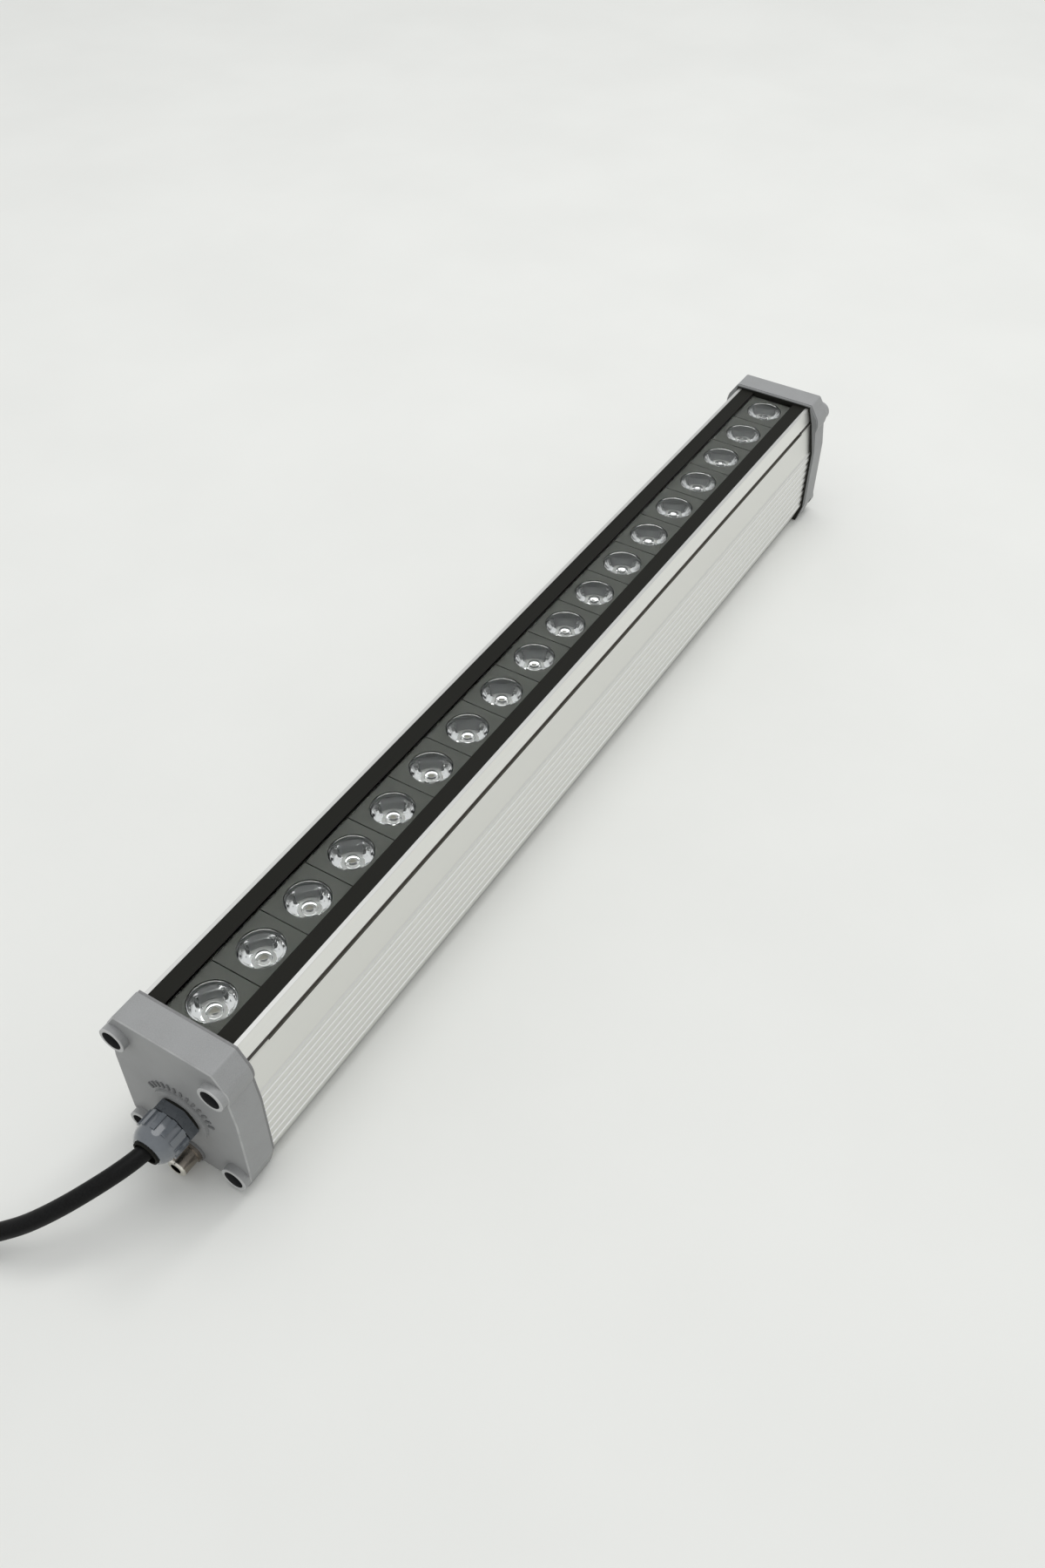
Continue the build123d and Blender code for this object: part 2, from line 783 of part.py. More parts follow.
nut_back = hex_front - nut_gap
nut_shoulder = hex_front - nut_straight
with BuildPart() as gland_dome_nut:
    with BuildSketch(beside(0, gland_rise)):
        with BuildLine():
            rim = (nut_front, nut_mouth + nut_mouth_step)
            bore_end = hex_front - spigot_length - gland_play
            Polyline((nut_front, nut_mouth), (bore_end, nut_bore), (nut_back, nut_bore))
            Polyline((nut_back, nut_bore), (nut_back, nut_radius), (nut_shoulder, nut_radius))
            TangentArc((nut_shoulder, nut_radius), rim, tangent=(-1, 0))
            Line(rim, (nut_front, nut_mouth))
        make_face()
    revolve(axis=bar_axis(gland_rise))
    with BuildSketch(across(nut_back)):
        with Locations((0, gland_rise)):
            with PolarLocations(nut_radius, grip_count):
                Rectangle(2 * grip_height, grip_width)
    extrude(amount=nut_shoulder - nut_back)
save(gland_dome_nut, "gland_dome_nut")

# Breather vent: screwed through the cap under the gland, with its washer and membrane
vent_flange_back = front_face - vent_washer_thickness
vent_flange_front = vent_flange_back - vent_flange
vent_tip = front_face - vent_reach
vent_floor = vent_tip + vent_bore_depth
vent_back = front_face + cap_front_wall + thread_end

with BuildPart() as vent_body:
    with BuildSketch(beside(0, vent_z)):
        with BuildLine():
            Polyline(
                (vent_back, vent_port_radius),
                (vent_back, vent_shank_radius),
                (vent_flange_back, vent_shank_radius),
                (vent_flange_back, vent_flange_radius),
                (vent_flange_front, vent_flange_radius),
                (vent_flange_front, vent_tube_radius),
                (vent_tip + vent_tip_bevel, vent_tube_radius),
                (vent_tip, vent_tube_radius - vent_tip_bevel),
                (vent_tip, vent_bore_radius),
                (vent_floor, vent_bore_radius),
                (vent_floor, vent_port_radius),
                close=True,
            )
        make_face()
    revolve(axis=bar_axis(vent_z))
save(vent_body, "vent_body")

with BuildPart() as vent_washer:
    with BuildSketch(beside(0, vent_z)):
        with BuildLine():
            Polyline(
                (front_face, vent_shank_radius + vent_play),
                (front_face, vent_flange_radius + vent_washer_margin),
                (vent_flange_back, vent_flange_radius + vent_washer_margin),
                (vent_flange_back, vent_shank_radius + vent_play),
                close=True,
            )
        make_face()
    revolve(axis=bar_axis(vent_z))
save(vent_washer, "vent_washer")

with BuildPart() as vent_membrane:
    with BuildSketch(across(vent_floor)):
        with Locations((0, vent_z)):
            Circle(vent_bore_radius - vent_play)
    extrude(amount=-membrane_thickness)
save(vent_membrane, "vent_membrane")

# Cord held in the gland, and its cores inside the housing
core_angles = [90 + i * 360 / core_count for i in range(core_count)]
core_offsets = [
    (core_circle * math.cos(math.radians(a)), core_circle * math.sin(math.radians(a)))
    for a in core_angles
]

with BuildPart() as cord_entry:
    with BuildSketch(across(cord_start)):
        with Locations((0, gland_rise)):
            Circle(cord_radius)
    extrude(amount=jacket_back - cord_start)
save(cord_entry, "cord_entry")

terminal_face = terminal_x - terminal_size[0] / 2
terminal_hole_z = driver_top + terminal_size[2] / 2
hole_rows = sorted(range(core_count), key=lambda i: core_offsets[i][0])
with BuildPart() as mains_leads:
    for row, i in enumerate(hole_rows):
        core_y, core_z = core_offsets[i]
        hole_y = (row - (core_count - 1) / 2) * terminal_pitch
        with BuildLine() as lead_line:
            FilletPolyline(
                (jacket_back, core_y, gland_rise + core_z),
                (jacket_back + lead_bend, core_y, gland_rise + core_z),
                (terminal_face - lead_bend, hole_y, terminal_hole_z),
                (terminal_face + terminal_hole_depth - screw_clearance, hole_y, terminal_hole_z),
                radius=lead_bend,
            )
        lead_path = lead_line.wire()
        with BuildSketch(Plane(origin=lead_path @ 0, z_dir=lead_path % 0)):
            Circle(core_radius)
        sweep(path=lead_path)
save(mains_leads, "mains_leads")

with BuildPart() as led_leads:
    for side in (-1, 1):
        wire_y = side * led_wire_spacing / 2
        with BuildLine() as lead_line:
            FilletPolyline(
                (led_wire_start, wire_y, driver_top),
                (led_wire_start, wire_y, driver_top + led_wire_rise),
                (lead_hole_x, wire_y, driver_top + led_wire_rise),
                (lead_hole_x, wire_y, board_top + emitter_base),
                radius=led_wire_bend,
            )
        lead_path = lead_line.wire()
        with BuildSketch(Plane(origin=lead_path @ 0, z_dir=lead_path % 0)):
            Circle(led_wire_radius)
        sweep(path=lead_path)
save(led_leads, "led_leads")

# Free cord: out of the seal, down in a gentle bend to the surface, then into its coil
coil_z = cord_radius + tie_play + tie_thickness + floor_play
cord_route = [
    (cord_start, 0.0, gland_rise),
    (cord_start - 4.0, 0.0, gland_rise),
    (cord_start - 10.0, 0.6, gland_rise),
    (cord_start - 16.1, 2.1, gland_rise - 0.4),
    (cord_start - 22.5, 4.7, gland_rise - 1.5),
    (cord_start - 29.1, 8.4, gland_rise - 3.6),
    (cord_start - 35.7, 13.1, gland_rise - 6.8),
    (cord_start - 42.0, 18.8, gland_rise - 10.9),
    (cord_start - 47.8, 25.4, gland_rise - 15.5),
    (cord_start - 52.9, 33.0, gland_rise - 19.7),
    (cord_start - 58.8, 41.1, gland_rise - 23.0),
    (cord_start - 65.6, 48.4, gland_rise - 25.2),
    (cord_start - 73.5, 54.6, coil_z),
    (cord_start - 82.2, 59.4, coil_z),
    (cord_start - 92.0, 63.2, coil_z),
    (cord_start - 102.6, 66.0, coil_z),
    (cord_start - 113.3, 68.1, coil_z),
]


def corner_radii(route):
    """Largest radius that each corner's two runs leave room for."""
    points = [Vector(*p) for p in route]
    radii = []
    for before, corner, after in zip(points, points[1:], points[2:]):
        turn = math.radians((corner - before).get_angle(after - corner))
        run = min((corner - before).length, (after - corner).length)
        radii.append(run_share * run / math.tan(turn / 2))
    return radii


cord_radii = corner_radii(cord_route)
print("cord radii", [round(r, 1) for r in cord_radii])
print("least allowed", least_bend * cord_diameter)

with BuildPart() as power_cord:
    with BuildLine() as cord_line:
        FilletPolyline(*cord_route, radius=cord_radii)
    cord_path = cord_line.wire()
    with BuildSketch(Plane(origin=cord_path @ 0, z_dir=cord_path % 0)):
        Circle(cord_radius)
    sweep(path=cord_path)
cord_swept = math.pi * cord_radius**2 * cord_path.length
print("free cord length", round(cord_path.length, 1))
print("volume over section times length", round(power_cord.part.volume / cord_swept, 4))
save(power_cord, "power_cord")

# Coil: a flat spiral that winds inwards, anticlockwise from above, from the free cord's last run
lead_in = (Vector(*cord_route[-1]) - Vector(*cord_route[-2])).normalized()
coil_entry = Vector(*cord_route[-1])
spiral_start = coil_entry + lead_in * cord_diameter
spiral_rate = coil_pitch / (2 * math.pi)
start_angle = math.atan2(lead_in.Y, lead_in.X) - math.pi / 2 - math.atan(spiral_rate / coil_radius)
coil_centre = spiral_start - Vector(math.cos(start_angle), math.sin(start_angle), 0) * coil_radius


def spiral_point(wound):
    """Point of the coil's centre line after an angle wound, in radians."""
    reach = coil_radius - spiral_rate * wound
    angle = start_angle + wound
    return coil_centre + Vector(math.cos(angle), math.sin(angle), 0) * reach


def spiral_heading(wound):
    """Direction of the coil's centre line after an angle wound."""
    reach = coil_radius - spiral_rate * wound
    angle = start_angle + wound
    inwards = Vector(math.cos(angle), math.sin(angle), 0) * -spiral_rate
    onwards = Vector(-math.sin(angle), math.cos(angle), 0) * reach
    return (inwards + onwards).normalized()


def biarc(p0, t0, p1, t1):
    """Two arcs, tangent to each other and to the headings at two points of a smooth line."""
    chord = p1 - p0
    both = t0 + t1
    bend = 2 * (1 - t0.dot(t1))
    reach = (math.sqrt(chord.dot(both) ** 2 + bend * chord.dot(chord)) - chord.dot(both)) / bend
    handle_0 = p0 + t0 * reach
    handle_1 = p1 - t1 * reach
    middle = (handle_0 + handle_1) * 0.5
    TangentArc(p0, middle, tangent=t0)
    TangentArc(middle, p1, tangent=handle_1 - handle_0)


quarter = math.pi / 2
coil_wound = coil_quarters * quarter
with BuildPart() as power_cord_coil:
    with BuildLine() as coil_line:
        Line(coil_entry, spiral_start)
        for i in range(coil_quarters):
            a, b = i * quarter, (i + 1) * quarter
            biarc(spiral_point(a), spiral_heading(a), spiral_point(b), spiral_heading(b))
        coil_end = spiral_point(coil_wound) + spiral_heading(coil_wound) * cord_diameter
        Line(spiral_point(coil_wound), coil_end)
    coil_path = coil_line.wire()
    with BuildSketch(Plane(origin=coil_entry, z_dir=lead_in)):
        Circle(cord_radius)
    sweep(path=coil_path)
save(power_cord_coil, "power_cord_coil")

steps = 360
samples = [coil_path @ (i / steps) for i in range(steps + 1)]
apart = math.ceil(steps * math.pi * coil_radius / coil_path.length)
self_gap = min(
    (samples[i] - samples[j]).length for i in range(steps + 1) for j in range(i + apart, steps + 1)
)
print("coil length", round(coil_path.length, 1), "least gap", round(self_gap - cord_diameter, 2))

# Tie round the two strands where the coil overlaps itself
tie_angle = quarter / 2
outer_strand = spiral_point(tie_angle)
inner_strand = spiral_point(tie_angle + 2 * math.pi)
with BuildPart() as cord_tie:
    tie_plane = Plane(
        origin=(outer_strand + inner_strand) * 0.5,
        x_dir=outer_strand - inner_strand,
        z_dir=spiral_heading(tie_angle),
    )
    tie_bore = 2 * (cord_radius + tie_play)
    with BuildSketch(tie_plane):
        SlotCenterToCenter(coil_pitch, tie_bore + 2 * tie_thickness)
        SlotCenterToCenter(coil_pitch, tie_bore, mode=Mode.SUBTRACT)
    extrude(amount=tie_width / 2, both=True)
save(cord_tie, "cord_tie")

# Stripped end: three cores that fan out inside the coil, with bare copper tips
tail_heading = spiral_heading(coil_wound)
tail_side = Vector(-tail_heading.Y, tail_heading.X, 0)
with BuildPart() as cord_cores:
    for (core_u, core_v), bend in zip(sorted(core_offsets), sorted(tail_bends, reverse=True)):
        root = coil_end + tail_side * core_u
        with BuildLine(Plane.XY.offset(coil_z + core_v)) as tail_line:
            straight = root + tail_heading * tail_lead
            run = Line((root.X, root.Y), (straight.X, straight.Y))
            JernArc(run @ 1, run % 1, bend, tail_turn)
        tail_path = tail_line.wire()
        with BuildSketch(Plane(origin=tail_path @ 0, z_dir=tail_path % 0)):
            Circle(core_radius)
        sweep(path=tail_path)
        with BuildSketch(Plane(origin=tail_path @ 1, z_dir=tail_path % 1)):
            Circle(copper_radius)
        extrude(amount=copper_length)
save(cord_cores, "cord_cores")
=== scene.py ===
"""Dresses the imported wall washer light: cord, lenses, finishes and a plain pale studio."""
import math

import bpy
from mathutils import Matrix, Vector


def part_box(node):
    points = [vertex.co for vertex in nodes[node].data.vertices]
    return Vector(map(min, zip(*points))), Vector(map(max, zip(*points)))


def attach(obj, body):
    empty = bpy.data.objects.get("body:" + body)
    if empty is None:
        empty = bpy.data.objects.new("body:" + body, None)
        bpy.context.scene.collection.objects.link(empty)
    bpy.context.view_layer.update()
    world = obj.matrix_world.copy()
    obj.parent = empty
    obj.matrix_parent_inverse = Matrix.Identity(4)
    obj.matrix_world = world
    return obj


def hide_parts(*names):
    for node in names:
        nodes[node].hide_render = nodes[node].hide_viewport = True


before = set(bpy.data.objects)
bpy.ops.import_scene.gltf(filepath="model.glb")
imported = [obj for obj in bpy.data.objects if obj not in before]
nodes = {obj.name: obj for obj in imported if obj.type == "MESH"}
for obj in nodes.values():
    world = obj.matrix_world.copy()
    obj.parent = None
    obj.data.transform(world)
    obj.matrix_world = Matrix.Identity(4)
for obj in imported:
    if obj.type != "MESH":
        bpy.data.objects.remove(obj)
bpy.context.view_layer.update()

scene = bpy.context.scene

# Sizes and places are in millimetres where nothing else is said, and this makes metres of them
MM = 0.001


def box_mm(name):
    """Low and high corner of a node's box, in millimetres."""
    low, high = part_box(name)
    return low / MM, high / MM


bar_low, bar_high = box_mm("housing_profile")
cap_low = box_mm("front_end_cap")[0]
vent_low, vent_high = box_mm("vent_body")
plates_top = box_mm("lens_holders")[1].z
emitters_top = box_mm("led_emitters")[1].z

# Camera, as the photograph was taken
CAMERA_PLACE = (-392.49 * MM, -229.25 * MM, 452.04 * MM)
CAMERA_AZIMUTH = math.radians(-58.77)
CAMERA_ELEVATION = math.radians(45.86)
CAMERA_ROLL = math.radians(0.51)
CAMERA_FOCAL = 31.176
CAMERA_NEAR = 10.0 * MM
FILM_SIZE = 36.0

# Cord, in the part's own sizes
CORD_DIAMETER = 6.5
CORD_START = -250.15
GLAND_RISE = 30.4
COIL_Z = 4.2
COIL_RADIUS = 38.0
COIL_PITCH = 8.4
COIL_TURNS = 1.25
COIL_POINTS_PER_TURN = 24
CORD_ROUTE = [
    (CORD_START, 0.0, GLAND_RISE),
    (CORD_START - 4.0, 0.0, GLAND_RISE),
    (CORD_START - 10.0, 0.6, GLAND_RISE),
    (CORD_START - 16.1, 2.1, GLAND_RISE - 0.4),
    (CORD_START - 22.5, 4.7, GLAND_RISE - 1.5),
    (CORD_START - 29.1, 8.4, GLAND_RISE - 3.6),
    (CORD_START - 35.7, 13.1, GLAND_RISE - 6.8),
    (CORD_START - 42.0, 18.8, GLAND_RISE - 10.9),
    (CORD_START - 47.8, 25.4, GLAND_RISE - 15.5),
    (CORD_START - 52.9, 33.0, GLAND_RISE - 19.7),
    (CORD_START - 58.8, 41.1, GLAND_RISE - 23.0),
    (CORD_START - 65.6, 48.4, GLAND_RISE - 25.2),
    (CORD_START - 73.5, 54.6, COIL_Z),
    (CORD_START - 82.2, 59.4, COIL_Z),
    (CORD_START - 92.0, 63.2, COIL_Z),
    (CORD_START - 102.6, 66.0, COIL_Z),
    (CORD_START - 113.3, 68.1, COIL_Z),
]
CORD_ORDER = 3
CORD_STEPS = 8
CORD_ROUNDING = 7

# Bared cores past the cord's end: a straight lead, then one bend each, after which the copper starts
CORE_LEAD = 2.0
CORE_TURN = math.radians(85.0)
CORE_CIRCLE = 1.25
CORE_ASIDE = CORE_CIRCLE * math.cos(math.radians(30.0))
INNER_BEND = 7.0
UPPER_BEND = 10.0
OUTER_BEND = 14.0
LOWER_BENDS_MIDDLE = (INNER_BEND + OUTER_BEND) / 2
CORE_SPLIT_Z = COIL_Z + CORE_CIRCLE / 4

# Lens, as (radius, height above the board): rim, flank that swells from foot to rim, and pocket.
# The gap keeps the foot off the board: on one shared face, rounding decides which of them light meets.
LENS_COUNT = 18
LENS_RIM = [(8.45, 10.2), (8.75, 9.9), (8.75, 8.7), (8.45, 8.4)]
LENS_FOOT = 4.6
LENS_AIR_GAP = 0.02
LENS_SWELL = 0.244
LENS_FLANK_STEPS = 6
LENS_POCKET = [(3.10, LENS_AIR_GAP), (2.90, 0.2), (2.75, 3.2), (2.35, 3.05), (1.70, 2.75), (0.90, 2.5)]
LENS_SIDES = 72
SMOOTH_ANGLE = math.radians(28.0)

# Bar: its outline, the ports for the cap screws and the flutes
BAR_MIDDLE = (bar_low.x + bar_high.x) / 2
BAR_HALF_LENGTH = (bar_high.x - bar_low.x) / 2
BAR_BOTTOM = bar_low.z
BAR_TOP = bar_high.z
FLANK_HALF = bar_high.y
FLANK_Z = BAR_TOP - 25.2
GROOVE_HALF = FLANK_HALF - 3.0
LIP_HALF = GROOVE_HALF - 2.4
LIP_BAND = 0.175
PORT_RADIUS = 1.6
PORT_HALF = GROOVE_HALF - 1.2
PORT_LOW_Z = BAR_BOTTOM + 7.7
SLIT_Z = BAR_TOP - 8.4
SLIT_DEEP = 0.3
FLUTE_COUNT = 8
FLUTES_LOW = BAR_BOTTOM + 10.3
FLUTES_MIDDLE = (FLANK_Z + FLUTES_LOW) / 2
FLUTES_HALF = (FLANK_Z - FLUTES_LOW) / 2
FLUTE_PITCH = 2 * FLUTES_HALF / FLUTE_COUNT

# Slopes of one flute: start and end as shares of the pitch, and the colour painted on each: a painted
# highlight on the first slope, painted shade on the second
FLUTE_PAINTED_SLOPES = ((0.22, 0.33, (0.98, 0.98, 0.96)), (0.67, 0.75, (0.66, 0.66, 0.63)))
SLOPE_FADE = 0.03

# End caps, as distances from the bar's middle, and their screw bosses
BOSS_RISE = 3.0
BOSS_END = BAR_MIDDLE - cap_low.x
BOSS_RIM = 0.3
BOSS_HOLE_RADIUS = 4.0
BOSSES_MIDDLE_Z = (SLIT_Z + PORT_LOW_Z) / 2
BOSSES_HALF_HEIGHT = (SLIT_Z - PORT_LOW_Z) / 2
CAP_FACE = BOSS_END - BOSS_RISE
CAP_EDGE = 0.6
GASKET_SHOWS = 1.0

# Plain ticks round the gland, on the front cap's face
TICK_FACE = cap_low.x + BOSS_RISE
TICK_SIZE = (1.2, 1.0, 2.8)
TICK_RISE = 0.6
TICK_RADIUS = 14.6
TICK_BEVEL = 0.2
TICK_FIRST = -76.5
TICK_STEP = 11.0
TICK_COUNT = 13

# Vent, plates and emitters
VENT_TIP = vent_low.x
VENT_Z = (vent_low.z + vent_high.z) / 2
VENT_BORE = 2.3
VENT_TIP_HIGHLIGHT = 0.8
PLATE_BOTTOM = plates_top - 1.5
PHOSPHOR_BOTTOM = emitters_top - 0.6

# Soft edges between finishes: how wide some are, and how far from their line others lie
FLANK_FADE = 1.0
FLUTE_FADE = 0.1
HOLE_FADE = 0.12
CUP_FADE = 0.3
EDGE_MARGIN = 0.05
BORE_MARGIN = 0.03

# Clear pieces: colour, and a chosen index of refraction
GLASS_COLOUR = (0.985, 0.995, 0.99, 1)
GLASS_IOR = 1.1
LENS_COLOUR = (0.96, 0.965, 0.96, 1)
LENS_IOR = 1.37

# Studio, with lamps as (name, place, width, power), in metres and watts
FLOOR_SIZE = 6.0
SURROUND_COLOUR = (0.98, 0.99, 1.0, 1)
SURROUND_STRENGTH = 0.69
LAMPS = (
    ("overhead_softbox", (0.15, 0.1, 2.0), 1.5, 11.0),
    ("far_end_softbox", (1.24, -0.29, 2.0), 0.5, 6.5),
)


def clear_selection():
    """Leaves edit mode and lets go of every piece."""
    if bpy.context.object and bpy.context.object.mode != "OBJECT":
        bpy.ops.object.mode_set(mode="OBJECT")
    bpy.ops.object.select_all(action="DESELECT")


def settle():
    """Works the active piece's place, turn and size into its mesh."""
    bpy.ops.object.transform_apply(location=True, rotation=True, scale=True)


def copy_of(piece):
    """Copy of a piece, left active and selected."""
    clear_selection()
    piece.select_set(True)
    bpy.context.view_layer.objects.active = piece
    bpy.ops.object.duplicate(linked=False)
    return bpy.context.object


def set_camera():
    """Camera at the photograph's place, turned as it was held."""
    back = Vector(
        (
            math.sin(CAMERA_AZIMUTH) * math.cos(CAMERA_ELEVATION),
            -math.cos(CAMERA_AZIMUTH) * math.cos(CAMERA_ELEVATION),
            math.sin(CAMERA_ELEVATION),
        )
    )
    level = Vector((0, 0, 1)).cross(back).normalized()
    upright = back.cross(level)
    right = math.cos(CAMERA_ROLL) * level + math.sin(CAMERA_ROLL) * upright
    up = -math.sin(CAMERA_ROLL) * level + math.cos(CAMERA_ROLL) * upright
    turned = Matrix((right, up, back)).transposed().to_4x4()
    clear_selection()
    bpy.ops.object.camera_add()
    camera = bpy.context.object
    camera.name = "photo_camera"
    camera.matrix_world = Matrix.Translation(CAMERA_PLACE) @ turned
    camera.data.sensor_fit = "VERTICAL"
    camera.data.sensor_height = FILM_SIZE
    camera.data.lens = CAMERA_FOCAL
    camera.data.clip_start = CAMERA_NEAR
    scene.camera = camera


def coil_points():
    """Points of the put-away coil: straight in, round and inwards anticlockwise, straight out."""
    entry = Vector(CORD_ROUTE[-1])
    lead_in = (entry - Vector(CORD_ROUTE[-2])).normalized()
    start = entry + lead_in * CORD_DIAMETER
    rate = COIL_PITCH / (2 * math.pi)
    first = math.atan2(lead_in.y, lead_in.x) - math.pi / 2 - math.atan(rate / COIL_RADIUS)
    centre = start - Vector((math.cos(first), math.sin(first), 0)) * COIL_RADIUS
    points = []
    for step in range(round(COIL_TURNS * COIL_POINTS_PER_TURN) + 1):
        wound = 2 * math.pi * step / COIL_POINTS_PER_TURN
        reach = COIL_RADIUS - rate * wound
        angle = first + wound
        points.append(centre + Vector((math.cos(angle), math.sin(angle), 0)) * reach)
    onwards = Vector((-math.sin(angle), math.cos(angle), 0)) * reach
    inwards = Vector((math.cos(angle), math.sin(angle), 0)) * -rate
    points.append(points[-1] + (onwards + inwards).normalized() * CORD_DIAMETER)
    return points


def make_cord():
    """Power cord as one smooth round line from the gland to its stripped end."""
    curve = bpy.data.curves.new("power_cord_jacket", "CURVE")
    curve.dimensions = "3D"
    spline = curve.splines.new("NURBS")
    route = [Vector(p) for p in CORD_ROUTE] + coil_points()
    spline.points.add(len(route) - 1)
    for point, place in zip(spline.points, route):
        point.co = (*(place * MM), 1.0)
        point.radius = CORD_DIAMETER / 2 * MM
    spline.order_u = CORD_ORDER
    spline.use_endpoint_u = True
    spline.resolution_u = CORD_STEPS
    # A depth of one leaves the thickness to the points' own radius
    curve.bevel_depth = 1.0
    curve.bevel_resolution = CORD_ROUNDING
    curve.use_fill_caps = True
    cord = bpy.data.objects.new("power_cord_jacket", curve)
    scene.collection.objects.link(cord)
    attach(cord, "root")
    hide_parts("power_cord", "power_cord_coil")
    return cord


def draw_out(name, centre, rings, sides):
    """Round piece drawn out of a disc ring by ring, along a list of (radius, height)."""
    clear_selection()
    x, y, floor = centre
    bpy.ops.mesh.primitive_circle_add(
        vertices=sides,
        radius=rings[0][0] * MM,
        fill_type="NGON",
        location=(x, y, floor + rings[0][1] * MM),
    )
    piece = bpy.context.object
    piece.name = name
    settle()
    bpy.ops.object.mode_set(mode="EDIT")
    bpy.ops.mesh.select_all(action="SELECT")
    for (radius, height), (next_radius, next_height) in zip(rings, rings[1:]):
        rise = (next_height - height) * MM
        grow = next_radius / radius
        middle = (x, y, floor + next_height * MM)
        bpy.ops.mesh.extrude_region_move(TRANSFORM_OT_translate={"value": (0, 0, rise)})
        bpy.ops.transform.resize(value=(grow, grow, 1), center_override=middle)
    bpy.ops.mesh.select_all(action="SELECT")
    bpy.ops.mesh.normals_make_consistent(inside=False)
    bpy.ops.object.mode_set(mode="OBJECT")
    bpy.ops.object.shade_smooth_by_angle(angle=SMOOTH_ANGLE)
    return piece


def lens_rings():
    """Rings of one lens from its top face down to the foot and up into the pocket."""
    rim, flank_top = LENS_RIM[-1]
    flank = []
    for step in range(1, LENS_FLANK_STEPS + 1):
        share = 1 - step / LENS_FLANK_STEPS
        swell = 4 * LENS_SWELL * share * (1 - share)
        radius = LENS_FOOT + (rim - LENS_FOOT) * share + swell
        flank.append((radius, LENS_AIR_GAP + (flank_top - LENS_AIR_GAP) * share))
    return LENS_RIM + flank + LENS_POCKET


def make_lenses():
    """Clear collimators: one is drawn out, the others are its copies along the row."""
    low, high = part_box("lens_01")
    centre = ((low.x + high.x) / 2, (low.y + high.y) / 2, low.z)
    first = draw_out("collimator_01", centre, lens_rings(), LENS_SIDES)
    lenses = [first]
    for number in range(2, LENS_COUNT + 1):
        lens = copy_of(first)
        lens.name = f"collimator_{number:02d}"
        bpy.ops.transform.translate(value=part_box(f"lens_{number:02d}")[0] - low)
        settle()
        lenses.append(lens)
    for number, lens in enumerate(lenses, start=1):
        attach(lens, "root")
        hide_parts(f"lens_{number:02d}")
    return lenses


def make_ticks():
    """Ring of plain raised ticks round the gland: one is bevelled, the others are its copies."""
    clear_selection()
    hub = (TICK_FACE * MM, 0, GLAND_RISE * MM)
    middle = TICK_FACE - TICK_RISE + TICK_SIZE[0] / 2
    place = (middle * MM, 0, (GLAND_RISE + TICK_RADIUS) * MM)
    bpy.ops.mesh.primitive_cube_add(size=MM, location=place)
    first = bpy.context.object
    first.name = "cap_tick_ring"
    bpy.ops.transform.resize(value=TICK_SIZE)
    settle()
    bpy.ops.object.mode_set(mode="EDIT")
    bpy.ops.mesh.select_all(action="SELECT")
    bpy.ops.mesh.bevel(offset=TICK_BEVEL * MM, segments=2, affect="EDGES")
    bpy.ops.object.mode_set(mode="OBJECT")

    def turn(degrees):
        """Turns the active tick about the gland."""
        bpy.ops.transform.rotate(value=math.radians(degrees), orient_axis="X", center_override=hub)
        settle()

    turn(TICK_FIRST)
    ticks = [first]
    for number in range(1, TICK_COUNT):
        ticks.append(copy_of(first))
        turn(TICK_STEP * number)
    clear_selection()
    for tick in ticks:
        tick.select_set(True)
    bpy.context.view_layer.objects.active = first
    bpy.ops.object.join()
    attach(first, "root")
    return first


